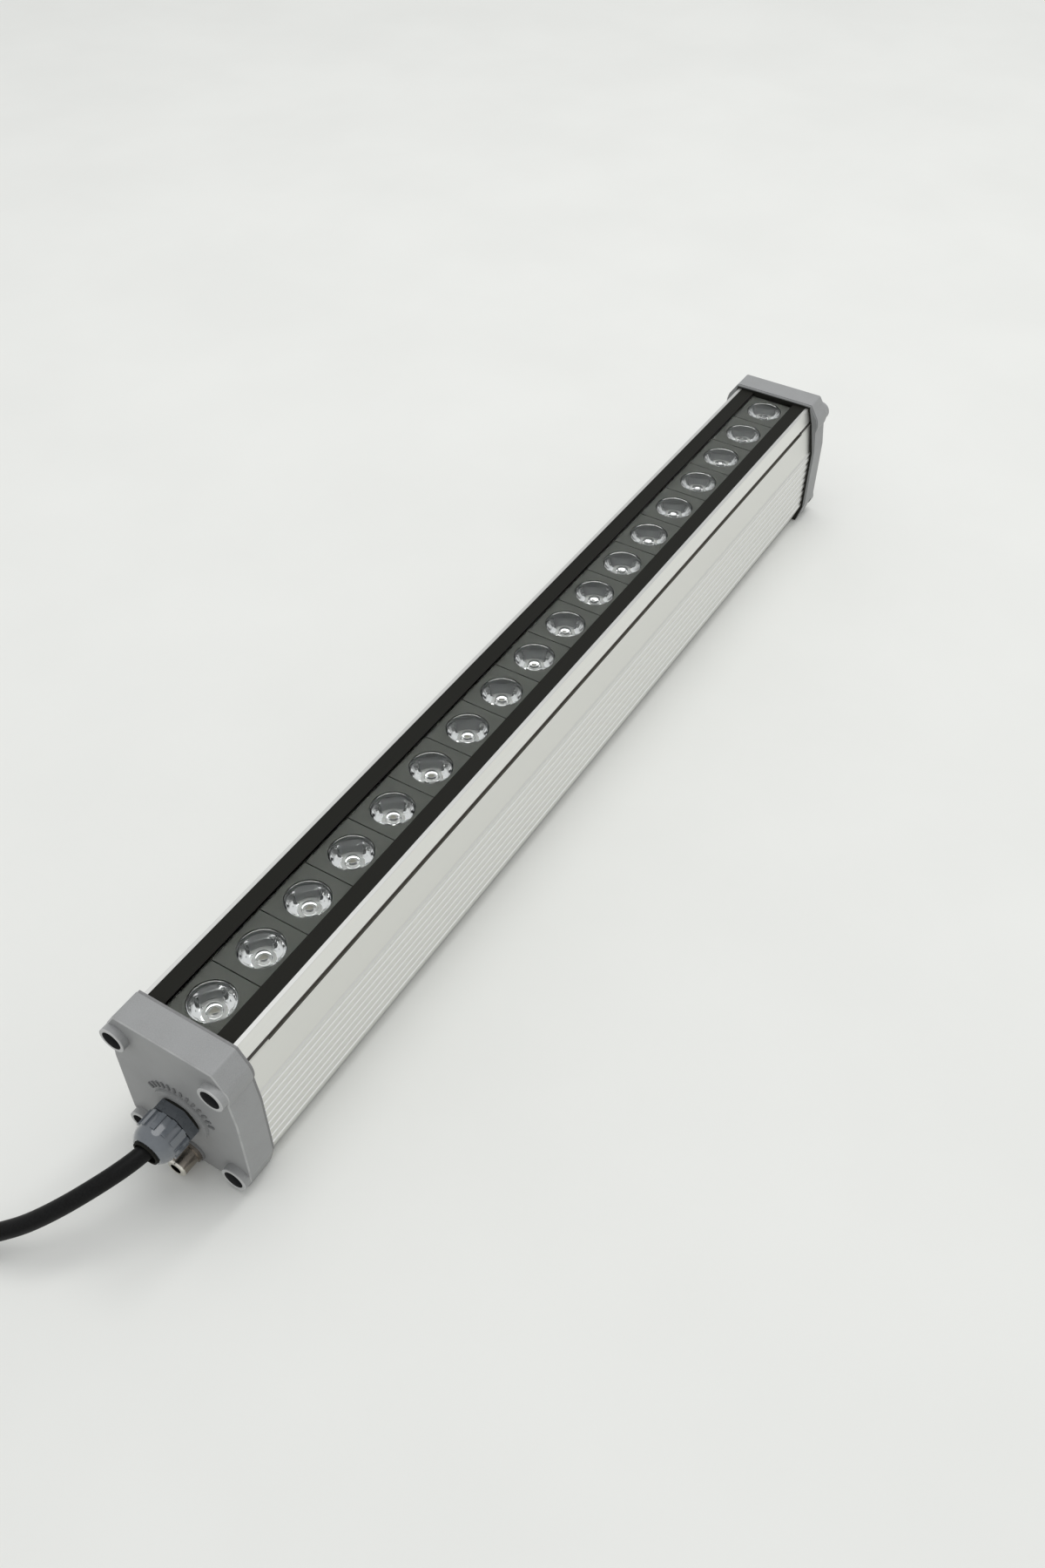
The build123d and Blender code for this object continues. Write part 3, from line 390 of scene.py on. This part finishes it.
class Finish:
    """One material: its node tree, its shader and the few nodes that every finish here uses."""

    def __init__(self, name):
        self.material = bpy.data.materials.new(name)
        self.material.use_nodes = True
        self.tree = self.material.node_tree
        self.shader = self.tree.nodes["Principled BSDF"]
        self.place = self.add("ShaderNodeTexCoord").outputs["Object"]

    def add(self, kind):
        """New node of a kind."""
        return self.tree.nodes.new(kind)

    def join(self, output, socket):
        """Wire from an output to a socket."""
        self.tree.links.new(output, socket)

    def feed(self, socket, value):
        """Number or output for a socket."""
        if isinstance(value, bpy.types.NodeSocket):
            self.join(value, socket)
        else:
            socket.default_value = value

    def grain(self, size, stretch=(1, 1, 1), detail=3.0, rough=0.55):
        """Noise whose blotches are about size millimetres, drawn out along each axis by stretch."""
        mapping = self.add("ShaderNodeMapping")
        mapping.inputs["Scale"].default_value = [1 / s for s in stretch]
        self.join(self.place, mapping.inputs["Vector"])
        noise = self.add("ShaderNodeTexNoise")
        noise.inputs["Scale"].default_value = 1 / (size * MM)
        noise.inputs["Detail"].default_value = detail
        noise.inputs["Roughness"].default_value = rough
        self.join(mapping.outputs["Vector"], noise.inputs["Vector"])
        return noise.outputs["Fac"]

    def between(self, factor, low, high, from_low=0.35, from_high=0.65):
        """Number that goes from low to high with a factor, by default over a noise's usual span."""
        span = self.add("ShaderNodeMapRange")
        span.inputs["From Min"].default_value = from_low
        span.inputs["From Max"].default_value = from_high
        span.inputs["To Min"].default_value = low
        span.inputs["To Max"].default_value = high
        self.join(factor, span.inputs["Value"])
        return span.outputs["Result"]

    def past(self, along, place, fade):
        """Mask that comes on past a place, over a soft edge, both in millimetres."""
        return self.between(along, 0, 1, (place - fade / 2) * MM, (place + fade / 2) * MM)

    def short_of(self, along, place, fade, most=1.0):
        """Mask that goes off at a place, over a soft edge, both in millimetres."""
        return self.between(along, most, 0, (place - fade / 2) * MM, (place + fade / 2) * MM)

    def reckon(self, operation, *values):
        """Math node on numbers or outputs."""
        node = self.add("ShaderNodeMath")
        node.operation = operation
        for socket, value in zip(node.inputs, values):
            self.feed(socket, value)
        return node.outputs["Value"]

    def both(self, first, second):
        """Mask where two masks are on."""
        return self.reckon("MULTIPLY", first, second)

    def axes(self):
        """Place on the piece as separate x, y and z."""
        apart = self.add("ShaderNodeSeparateXYZ")
        self.join(self.place, apart.inputs["Vector"])
        return apart.outputs["X"], apart.outputs["Y"], apart.outputs["Z"]

    def offset(self, along, place):
        """Coordinate counted from a place in millimetres."""
        return self.reckon("SUBTRACT", along, place * MM)

    def reach(self, along, middle, half=0.0):
        """How far a coordinate is from a middle, less a half span."""
        return self.offset(self.reckon("ABSOLUTE", self.offset(along, middle)), half)

    def radius(self, across, upward):
        """Distance from an axis, of two offsets from it."""
        across_squared = self.reckon("POWER", across, 2.0)
        upward_squared = self.reckon("POWER", upward, 2.0)
        return self.reckon("SQRT", self.reckon("ADD", across_squared, upward_squared))

    def blend(self, factor, first, second):
        """Colour between two, each a colour or an output."""
        mix = self.add("ShaderNodeMix")
        mix.data_type = "RGBA"
        self.join(factor, mix.inputs["Factor"])
        colour_sockets = [s for s in mix.inputs if s.type == "RGBA"]
        for socket, value in zip(colour_sockets, (first, second)):
            self.feed(socket, (*value, 1) if isinstance(value, tuple) else value)
        return [s for s in mix.outputs if s.type == "RGBA"][0]

    def mottle(self, speck, dark, light):
        """Two close colours in a grain."""
        return self.blend(self.between(speck, 0, 1), dark, light)

    def colour(self, output):
        """Base colour from an output."""
        self.join(output, self.shader.inputs["Base Color"])

    def roughness(self, output):
        """Roughness from an output."""
        self.join(output, self.shader.inputs["Roughness"])

    def relief(self, height, depth, strength=1.0):
        """Bump of a depth in millimetres."""
        bump = self.add("ShaderNodeBump")
        bump.inputs["Strength"].default_value = strength
        bump.inputs["Distance"].default_value = depth * MM
        self.join(height, bump.inputs["Height"])
        self.join(bump.outputs["Normal"], self.shader.inputs["Normal"])

    def hold(self, socket, value):
        """Plain value on one of the shader's own sockets."""
        self.shader.inputs[socket].default_value = value


def matt_finish(name, dark, light, grain, rough, depth, shine=0.5):
    """Even coated or moulded surface: two close colours in a fine grain, with a little relief."""
    finish = Finish(name)
    speck = finish.grain(grain)
    finish.colour(finish.mottle(speck, dark, light))
    finish.roughness(finish.between(speck, *rough))
    finish.relief(speck, depth)
    finish.hold("Specular IOR Level", shine)
    return finish


def bar_finish():
    """Satin anodised extrusion: long die lines, soft clouds, painted shade on the flank, lip and slit,
    and painted highlight and shade on the flutes.
    """
    finish = Finish("satin_anodised_bar")
    lines = finish.grain(0.35, stretch=(400, 1, 1), detail=2.0)
    clouds = finish.grain(30.0, stretch=(3, 1, 1))
    y, z = finish.axes()[1:]
    tone = finish.mottle(lines, (0.80, 0.80, 0.77), (0.84, 0.84, 0.81))
    tone = finish.blend(finish.between(clouds, 0, 0.5), tone, (0.83, 0.83, 0.80))
    # Painted shade: the flank below the slit is painted darker
    painted_flank_shade = finish.short_of(z, SLIT_Z - FLANK_FADE / 2, FLANK_FADE, most=0.6)
    tone = finish.blend(painted_flank_shade, tone, (0.70, 0.70, 0.67))
    flutes_up = finish.reckon("DIVIDE", finish.offset(z, FLUTES_LOW), FLUTE_PITCH * MM)
    step = finish.reckon("FRACT", flutes_up)
    past_flutes = finish.reach(z, FLUTES_MIDDLE, FLUTES_HALF)
    fluted = finish.short_of(past_flutes, -FLUTE_FADE / 2, FLUTE_FADE)
    # Painted highlight on one slope of each flute and painted shade on the other
    for start, end, painted_light in FLUTE_PAINTED_SLOPES:
        begun = finish.between(step, 0, 1, start, start + SLOPE_FADE)
        not_ended = finish.between(step, 1, 0, end - SLOPE_FADE, end)
        on_painted_slope = finish.both(finish.both(begun, not_ended), fluted)
        tone = finish.blend(on_painted_slope, tone, painted_light)
    # Painted shade: the top of the lips is painted darker
    painted_lip_shade = finish.past(z, BAR_TOP - LIP_BAND, fade=0.15)
    tone = finish.blend(painted_lip_shade, tone, (0.66, 0.66, 0.64))
    # Painted shade in the port just inside the slit
    across = finish.reach(y, 0.0, PORT_HALF)
    off_port = finish.radius(across, finish.reach(z, SLIT_Z))
    in_port = finish.short_of(off_port, PORT_RADIUS + EDGE_MARGIN, fade=0.06)
    painted_slit_shade = finish.both(in_port, finish.short_of(across, SLIT_DEEP, fade=0.3))
    finish.colour(finish.blend(painted_slit_shade, tone, (0.30, 0.285, 0.265)))
    finish.roughness(finish.between(lines, 0.38, 0.44))
    finish.relief(lines, depth=0.01, strength=0.2)
    finish.hold("Metallic", 1.0)
    return finish


def cap_finish():
    """Grey cap coating: fine grain, painted highlight on the boss rims and face edges, painted shade in
    the screw holes.
    """
    finish = Finish("grey_cap_coating")
    speck = finish.grain(0.45)
    blotch = finish.grain(9.0)
    x, y, z = finish.axes()
    outward = finish.reach(x, BAR_MIDDLE)
    tone = finish.mottle(speck, (0.272, 0.276, 0.275), (0.312, 0.316, 0.315))
    tone = finish.blend(finish.between(blotch, 0, 0.4), tone, (0.325, 0.330, 0.332))
    # Painted highlight on the boss rims
    painted_rim_highlight = finish.past(outward, BOSS_END - BOSS_RIM, fade=0.4)
    tone = finish.blend(painted_rim_highlight, tone, (0.50, 0.505, 0.50))
    # Painted highlight along the face edges, broken up by blotches
    before_face = finish.short_of(outward, CAP_FACE - EDGE_MARGIN, fade=0.06)
    past_side = finish.past(outward, CAP_FACE - CAP_EDGE + EDGE_MARGIN, fade=0.06)
    on_edge = finish.both(past_side, before_face)
    painted_edge_highlight = finish.both(on_edge, finish.between(blotch, 0.4, 1.0))
    tone = finish.blend(painted_edge_highlight, tone, (0.46, 0.465, 0.46))
    # Painted shade in the screw holes
    off_hole_y = finish.reach(y, 0.0, PORT_HALF)
    off_hole_z = finish.reach(z, BOSSES_MIDDLE_Z, BOSSES_HALF_HEIGHT)
    off_hole = finish.radius(off_hole_y, off_hole_z)
    painted_hole_shade = finish.short_of(off_hole, BOSS_HOLE_RADIUS + HOLE_FADE / 2, HOLE_FADE)
    finish.colour(finish.blend(painted_hole_shade, tone, (0.035, 0.036, 0.037)))
    finish.roughness(finish.between(speck, 0.42, 0.56))
    finish.relief(speck, depth=0.025)
    return finish


def plate_finish():
    """Matt charcoal moulding, paler down in the cups under the plates."""
    finish = Finish("charcoal_plate")
    speck = finish.grain(0.4)
    z = finish.axes()[2]
    charcoal = finish.mottle(speck, (0.098, 0.102, 0.091), (0.116, 0.120, 0.108))
    in_cup = finish.short_of(z, PLATE_BOTTOM - CUP_FADE / 2, CUP_FADE)
    finish.colour(finish.blend(in_cup, charcoal, (0.38, 0.39, 0.385)))
    finish.roughness(finish.between(speck, 0.6, 0.72))
    finish.relief(speck, depth=0.01)
    finish.hold("Specular IOR Level", 0.12)
    return finish


def rear_gasket_finish():
    """Black rubber, coated grey with the cap beyond a narrow line along the bar's outline."""
    finish = Finish("part_coated_rubber")
    speck = finish.grain(0.5)
    y, z = finish.axes()[1:]
    leaning = finish.between(z, FLANK_HALF * MM, GROOVE_HALF * MM, FLANK_Z * MM, SLIT_Z * MM)
    shoulder = finish.between(z, 0, (GROOVE_HALF - LIP_HALF) * MM, SLIT_Z * MM, BAR_TOP * MM)
    past_flank = finish.reckon("SUBTRACT", finish.reach(y, 0.0), leaning)
    past_side = finish.reckon("ADD", past_flank, shoulder)
    past_bar = finish.reckon("MAXIMUM", past_side, finish.offset(z, BAR_TOP))
    coated = finish.past(past_bar, GASKET_SHOWS, fade=0.1)
    black = finish.mottle(speck, (0.012, 0.012, 0.010), (0.017, 0.017, 0.014))
    finish.colour(finish.blend(coated, black, (0.24, 0.245, 0.245)))
    finish.roughness(finish.between(speck, 0.6, 0.75))
    finish.relief(speck, depth=0.01)
    finish.hold("Specular IOR Level", 0.2)
    return finish


def copper_start(bend, aside=0.0):
    """Where a core's bend ends and its copper starts, in metres along the cores' last direction."""
    return (CORE_LEAD * math.cos(CORE_TURN) + (bend + aside) * math.sin(CORE_TURN)) * MM


def core_finish():
    """Three sleeved cores, brown, blue and green with yellow, with bare copper at their tips."""
    finish = Finish("sleeved_cores")
    speck = finish.grain(0.3)
    x, y, z = finish.axes()
    *_, before, end = coil_points()
    onward = (end - before).normalized()
    away_x = finish.offset(x, end.x)
    away_y = finish.offset(y, end.y)

    def run(ahead, left):
        """How far a point lies from the cord's end, in a direction so far ahead and so far left."""
        run_x = finish.reckon("MULTIPLY", away_x, ahead * onward.x - left * onward.y)
        run_y = finish.reckon("MULTIPLY", away_y, ahead * onward.y + left * onward.x)
        return finish.reckon("ADD", run_x, run_y)

    past_lead = finish.offset(run(1.0, 0.0), CORE_LEAD)
    off_bend = finish.offset(run(0.0, 1.0), LOWER_BENDS_MIDDLE)
    outer = finish.past(finish.radius(past_lead, off_bend), LOWER_BENDS_MIDDLE, fade=0.4)
    upper = finish.past(z, CORE_SPLIT_Z, fade=0.1)
    under = finish.short_of(z, CORE_SPLIT_Z, fade=0.1)
    bands = finish.between(finish.grain(1.6), 0, 1, 0.49, 0.51)
    green_yellow = finish.blend(bands, (0.05, 0.24, 0.05), (0.62, 0.52, 0.04))
    blue_or_brown = finish.blend(outer, (0.03, 0.08, 0.36), (0.17, 0.075, 0.035))
    sleeve = finish.blend(upper, blue_or_brown, green_yellow)
    sleeve = finish.blend(finish.between(speck, 0.0, 0.15), sleeve, (0.30, 0.30, 0.30))
    inner_start = copper_start(INNER_BEND, CORE_ASIDE)
    outer_start = copper_start(OUTER_BEND, -CORE_ASIDE)
    lower_start = finish.reckon("MULTIPLY", under, finish.between(outer, inner_start, outer_start, 0, 1))
    upper_start = finish.reckon("MULTIPLY", upper, copper_start(UPPER_BEND))
    along = run(math.cos(CORE_TURN), math.sin(CORE_TURN))
    past_start = finish.reckon("SUBTRACT", along, finish.reckon("ADD", lower_start, upper_start))
    bare = finish.past(past_start, 0.0, fade=0.04)
    finish.colour(finish.blend(bare, sleeve, (0.80, 0.40, 0.22)))
    finish.join(bare, finish.shader.inputs["Metallic"])
    finish.roughness(finish.between(speck, 0.32, 0.42))
    return finish


def screw_finish():
    """Stainless steel, paler inside the bar, with painted shade along the top of the upper threads."""
    finish = Finish("stainless_screw")
    speck = finish.grain(0.3)
    x, _, z = finish.axes()
    in_bar = finish.short_of(finish.reach(x, BAR_MIDDLE), BAR_HALF_LENGTH, fade=0.4)
    # Painted shade along the top of the upper threads
    painted_thread_shade = finish.both(in_bar, finish.past(z, SLIT_Z + SLIT_DEEP, fade=0.3))
    steel = finish.mottle(speck, (0.50, 0.50, 0.48), (0.60, 0.60, 0.58))
    steel = finish.blend(in_bar, steel, (0.74, 0.74, 0.71))
    finish.colour(finish.blend(painted_thread_shade, steel, (0.085, 0.079, 0.072)))
    finish.roughness(finish.between(speck, 0.30, 0.45))
    finish.hold("Metallic", 1.0)
    return finish


def vent_finish():
    """Dull nickel plate with a painted highlight on the tip and painted shade down the bore."""
    finish = Finish("dull_nickel")
    speck = finish.grain(0.5)
    x, y, z = finish.axes()
    nickel = finish.mottle(speck, (0.34, 0.30, 0.26), (0.38, 0.34, 0.29))
    # Painted highlight on the tip
    painted_tip_highlight = finish.short_of(x, VENT_TIP + VENT_TIP_HIGHLIGHT, fade=0.2)
    nickel = finish.blend(painted_tip_highlight, nickel, (0.76, 0.73, 0.66))
    # Painted shade down the bore
    off_axis = finish.radius(y, finish.offset(z, VENT_Z))
    painted_bore_shade = finish.short_of(off_axis, VENT_BORE + BORE_MARGIN, fade=0.1)
    finish.colour(finish.blend(painted_bore_shade, nickel, (0.030, 0.027, 0.024)))
    finish.roughness(finish.between(speck, 0.20, 0.26))
    finish.hold("Metallic", 1.0)
    return finish


def clear_finish(name, colour, index, grain, rough):
    """Clear glass or acrylic, with a trace of unevenness in its roughness."""
    finish = Finish(name)
    finish.roughness(finish.between(finish.grain(grain), 0.0, rough))
    finish.hold("Base Color", colour)
    finish.hold("Transmission Weight", 1.0)
    finish.hold("IOR", index)
    return finish


def emitter_finish():
    """Grey packages under faintly yellow phosphor tops."""
    finish = Finish("phosphor_emitter")
    speck = finish.grain(0.4)
    z = finish.axes()[2]
    on_top = finish.past(z, PHOSPHOR_BOTTOM, fade=0.1)
    phosphor = finish.blend(speck, (0.36, 0.34, 0.27), (0.42, 0.40, 0.33))
    finish.colour(finish.blend(on_top, (0.36, 0.36, 0.35), phosphor))
    finish.roughness(finish.between(speck, 0.35, 0.5))
    return finish


def wear(finish, *pieces):
    """Gives pieces a finish."""
    for piece in pieces:
        piece.data.materials.clear()
        piece.data.materials.append(finish.material)


def dress(finish, *names):
    """Gives CAD nodes a finish."""
    wear(finish, *(nodes[name] for name in names))


def make_studio():
    """Pale floor, an even pale surround and two large soft lamps."""
    clear_selection()
    bpy.ops.mesh.primitive_plane_add(size=FLOOR_SIZE, location=(0, 0, 0))
    floor = bpy.context.object
    floor.name = "studio_floor"
    paper = Finish("pale_floor")
    speck = paper.grain(120.0)
    paper.colour(paper.mottle(speck, (0.80, 0.805, 0.775), (0.82, 0.825, 0.795)))
    paper.roughness(paper.between(speck, 0.75, 0.85))
    wear(paper, floor)
    world = bpy.data.worlds.new("pale_surround")
    world.use_nodes = True
    surround = world.node_tree.nodes["Background"]
    surround.inputs["Color"].default_value = SURROUND_COLOUR
    surround.inputs["Strength"].default_value = SURROUND_STRENGTH
    scene.world = world
    for name, place, width, power in LAMPS:
        clear_selection()
        bpy.ops.object.light_add(type="AREA", location=place)
        lamp = bpy.context.object
        lamp.name = name
        lamp.data.shape = "DISK"
        lamp.data.size = width
        lamp.data.energy = power
        lamp.rotation_euler = (-Vector(place)).to_track_quat("-Z", "Y").to_euler()


set_camera()
cord = make_cord()
lenses = make_lenses()
ticks = make_ticks()

# Bar, glass and lenses
dress(bar_finish(), "housing_profile")
dress(clear_finish("clear_cover_glass", GLASS_COLOUR, GLASS_IOR, grain=18.0, rough=0.012), "glass_cover")
wear(clear_finish("polished_acrylic_lens", LENS_COLOUR, LENS_IOR, grain=3.0, rough=0.03), *lenses)
dress(plate_finish(), "lens_holders")
dress(emitter_finish(), "led_emitters")
board = matt_finish(
    "white_coated_board",
    dark=(0.70, 0.70, 0.68),
    light=(0.76, 0.76, 0.74),
    grain=0.6,
    rough=(0.4, 0.5),
    depth=0.005,
)
dress(board, "led_board")

# Rubber
rubber = matt_finish(
    "black_rubber",
    dark=(0.012, 0.012, 0.010),
    light=(0.017, 0.017, 0.014),
    grain=0.5,
    rough=(0.6, 0.75),
    depth=0.01,
    shine=0.1,
)
dress(rubber, "glazing_strip_left", "glazing_strip_right", "gland_seal", "gland_washer")
grey_rubber = matt_finish(
    "grey_gasket_rubber",
    dark=(0.19, 0.19, 0.19),
    light=(0.23, 0.23, 0.23),
    grain=0.5,
    rough=(0.6, 0.7),
    depth=0.01,
)
dress(grey_rubber, "front_gasket", "vent_washer")
dress(rear_gasket_finish(), "rear_gasket")

# Caps, their ticks and all screws
dress(cap_finish(), "front_end_cap", "rear_end_cap")
# Ticks painted dark: painted shade
tick_painted_shade = matt_finish(
    "ticks_painted_shade",
    dark=(0.15, 0.152, 0.153),
    light=(0.19, 0.192, 0.193),
    grain=0.45,
    rough=(0.42, 0.56),
    depth=0.01,
)
wear(tick_painted_shade, ticks)
dress(screw_finish(), "front_cap_screws", "rear_cap_screws", "board_screws")

# Gland and vent
nut_nylon = matt_finish(
    "blue_grey_nylon",
    dark=(0.133, 0.147, 0.163),
    light=(0.147, 0.162, 0.179),
    grain=2.5,
    rough=(0.07, 0.11),
    depth=0.0,
)
nut_nylon.hold("Coat Weight", 0.7)
nut_nylon.hold("Coat Roughness", 0.05)
dress(nut_nylon, "gland_dome_nut")
# Gland body and locknut: the same nylon as the nut, painted darker as shade
nylon_painted_shade = matt_finish(
    "blue_grey_nylon_painted_shade",
    dark=(0.062, 0.070, 0.078),
    light=(0.072, 0.080, 0.089),
    grain=2.5,
    rough=(0.25, 0.32),
    depth=0.0,
)
dress(nylon_painted_shade, "gland_body", "gland_locknut")
dress(vent_finish(), "vent_body")
membrane = matt_finish(
    "vent_membrane_cloth",
    dark=(0.74, 0.74, 0.72),
    light=(0.82, 0.82, 0.80),
    grain=0.15,
    rough=(0.8, 0.9),
    depth=0.01,
)
dress(membrane, "vent_membrane")

# Cord, tie and wires
jacket = matt_finish(
    "black_cord_jacket",
    dark=(0.005, 0.005, 0.005),
    light=(0.009, 0.009, 0.009),
    grain=0.7,
    rough=(0.40, 0.52),
    depth=0.012,
    shine=0.12,
)
wear(jacket, cord)
dress(jacket, "cord_entry", "power_cord", "power_cord_coil")
dress(core_finish(), "cord_cores")
tie_nylon = matt_finish(
    "black_tie_nylon",
    dark=(0.020, 0.020, 0.020),
    light=(0.030, 0.030, 0.030),
    grain=0.4,
    rough=(0.4, 0.5),
    depth=0.005,
)
dress(tie_nylon, "cord_tie")
wire_sleeve = matt_finish(
    "brown_wire_sleeve",
    dark=(0.13, 0.06, 0.03),
    light=(0.18, 0.08, 0.04),
    grain=0.5,
    rough=(0.35, 0.45),
    depth=0.005,
)
dress(wire_sleeve, "mains_leads", "led_leads")

# Driver
laminate = matt_finish(
    "green_laminate",
    dark=(0.03, 0.15, 0.06),
    light=(0.05, 0.20, 0.08),
    grain=0.8,
    rough=(0.35, 0.5),
    depth=0.01,
)
dress(laminate, "driver_board")
terminal = matt_finish(
    "grey_terminal",
    dark=(0.30, 0.31, 0.32),
    light=(0.36, 0.37, 0.38),
    grain=0.5,
    rough=(0.4, 0.5),
    depth=0.01,
)
dress(terminal, "terminal_block")
wound_core = matt_finish(
    "wound_core",
    dark=(0.045, 0.042, 0.038),
    light=(0.065, 0.06, 0.055),
    grain=0.5,
    rough=(0.5, 0.7),
    depth=0.02,
)
dress(wound_core, "driver_choke", "driver_transformer")
can = matt_finish(
    "sleeved_can",
    dark=(0.030, 0.038, 0.080),
    light=(0.045, 0.055, 0.110),
    grain=0.6,
    rough=(0.3, 0.4),
    depth=0.005,
)
dress(can, "driver_capacitors")

make_studio()
scene.view_settings.view_transform = "Standard"

bpy.context.view_layer.update()
